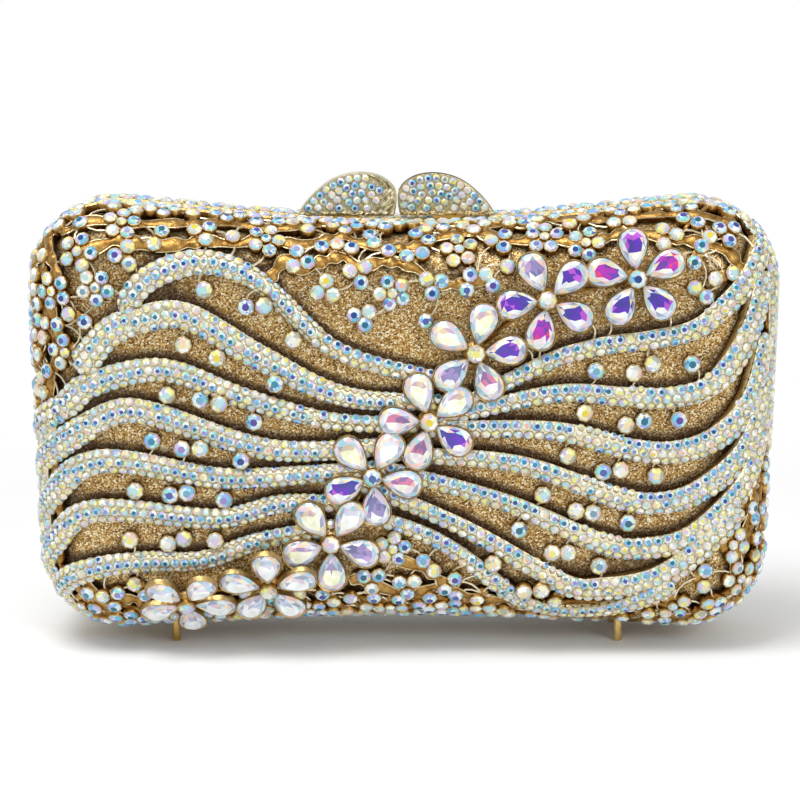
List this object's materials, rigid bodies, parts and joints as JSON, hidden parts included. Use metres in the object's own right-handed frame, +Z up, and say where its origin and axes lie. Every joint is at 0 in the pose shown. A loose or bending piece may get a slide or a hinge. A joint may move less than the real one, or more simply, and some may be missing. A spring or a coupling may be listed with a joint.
{
  "type": "rhinestone clutch",
  "caption": "Hard-shelled evening clutch, hinged along its bottom, with wave and flower openwork set with stones and a two-leaf snap clasp.",
  "frame": {"origin": "centre of the footprint, on the floor that the feet stand on", "axes": "+X along the case to the viewer's right, -Y towards the front face, +Z up towards the clasp"},
  "size_m": [0.2026, 0.073, 0.1299],
  "materials": {
    "gold": "polished gold plate on cast and rolled metal",
    "pave": "gold-plated casting set all over with small aurora rhinestones",
    "glitter": "champagne and copper glitter over a moulded shell",
    "lining": "metallic gold lining over thin board",
    "crystal": "faceted foiled glass with an aurora coating, in cast settings"
  },
  "bodies": {
    "hinge_pins": {"hinge_pin_left": "gold", "hinge_pin_right": "gold"},
    "back_half": {"back_frame": "gold", "back_openwork": "pave", "back_shell": "glitter", "back_lining": "lining", "back_flower_1": "crystal", "back_flower_2": "crystal", "back_flower_3": "crystal", "back_flower_4": "crystal", "back_flower_5": "crystal", "back_flower_6": "crystal", "back_flower_7": "crystal", "back_flower_8": "crystal", "back_foot_left": "gold", "back_foot_right": "gold", "closing_rim": "gold", "chain_ring_left": "gold", "back_knuckle_left_outer": "gold", "back_knuckle_left_inner": "gold", "chain_ring_right": "gold", "back_knuckle_right_outer": "gold", "back_knuckle_right_inner": "gold"},
    "front_half": {"front_frame": "gold", "front_openwork": "pave", "front_shell": "glitter", "front_lining": "lining", "front_flower_1": "crystal", "front_flower_2": "crystal", "front_flower_3": "crystal", "front_flower_4": "crystal", "front_flower_5": "crystal", "front_flower_6": "crystal", "front_flower_7": "crystal", "front_flower_8": "crystal", "front_foot_left": "gold", "front_foot_right": "gold", "front_knuckle_left": "gold", "front_knuckle_right": "gold"},
    "front_clasp": {"front_leaf": "pave", "front_leaf_stem": "gold"},
    "back_clasp": {"back_leaf": "pave", "back_leaf_stem": "gold"}
  },
  "joints": [
    {"name": "front_open", "type": "hinge", "parent": "hinge_pins", "child": "front_half", "pos_m": [0, 0, 0.00411], "axis": [1, 0, 0], "range_deg": [0, 34]},
    {"name": "back_open", "type": "hinge", "parent": "hinge_pins", "child": "back_half", "pos_m": [0, 0, 0.00411], "axis": [1, 0, 0], "range_deg": [-34, 0]},
    {"name": "front_clasp_flex", "type": "hinge", "parent": "front_half", "child": "front_clasp", "pos_m": [-0.0156, -0.0006, 0.11709], "axis": [1, 0, 0], "range_deg": [-5, 5], "stiffness_Nm_per_rad": 0.5},
    {"name": "back_clasp_flex", "type": "hinge", "parent": "back_half", "child": "back_clasp", "pos_m": [0.012, 0.0006, 0.11693], "axis": [1, 0, 0], "range_deg": [-5, 5], "stiffness_Nm_per_rad": 0.5}
  ],
  "couplings": [
    {"joint": "back_open", "follows": "front_open", "ratio": -1}
  ]
}
